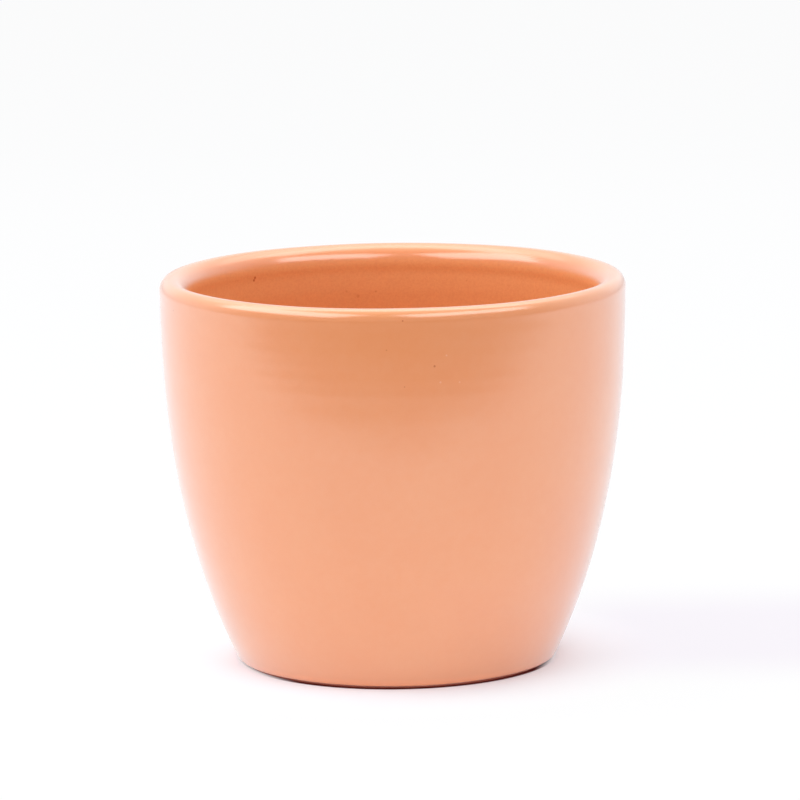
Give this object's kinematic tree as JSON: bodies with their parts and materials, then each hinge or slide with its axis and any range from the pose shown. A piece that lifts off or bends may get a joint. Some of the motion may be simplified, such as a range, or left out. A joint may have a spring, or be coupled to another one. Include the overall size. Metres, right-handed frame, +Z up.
{
  "type": "plant pot",
  "caption": "Round plant pot with a bellied wall that narrows to a recessed foot ring, a thick rounded rim and a satin terracotta-coloured glaze over fired clay.",
  "frame": {"origin": "on the pot's axis, in the plane of the foot ring's face, where the pot stands on the ground", "axes": "+Z up along the pot's axis, out of its mouth; X and Y are alike, because the pot is round"},
  "size_m": [0.12, 0.12, 0.1],
  "materials": {
    "bare_clay": "fired earthenware, bare and matt",
    "satin_glaze": "satin terracotta-coloured glaze"
  },
  "bodies": {
    "root": {"clay_body": "bare_clay", "glaze_coat": "satin_glaze"}
  },
  "joints": []
}
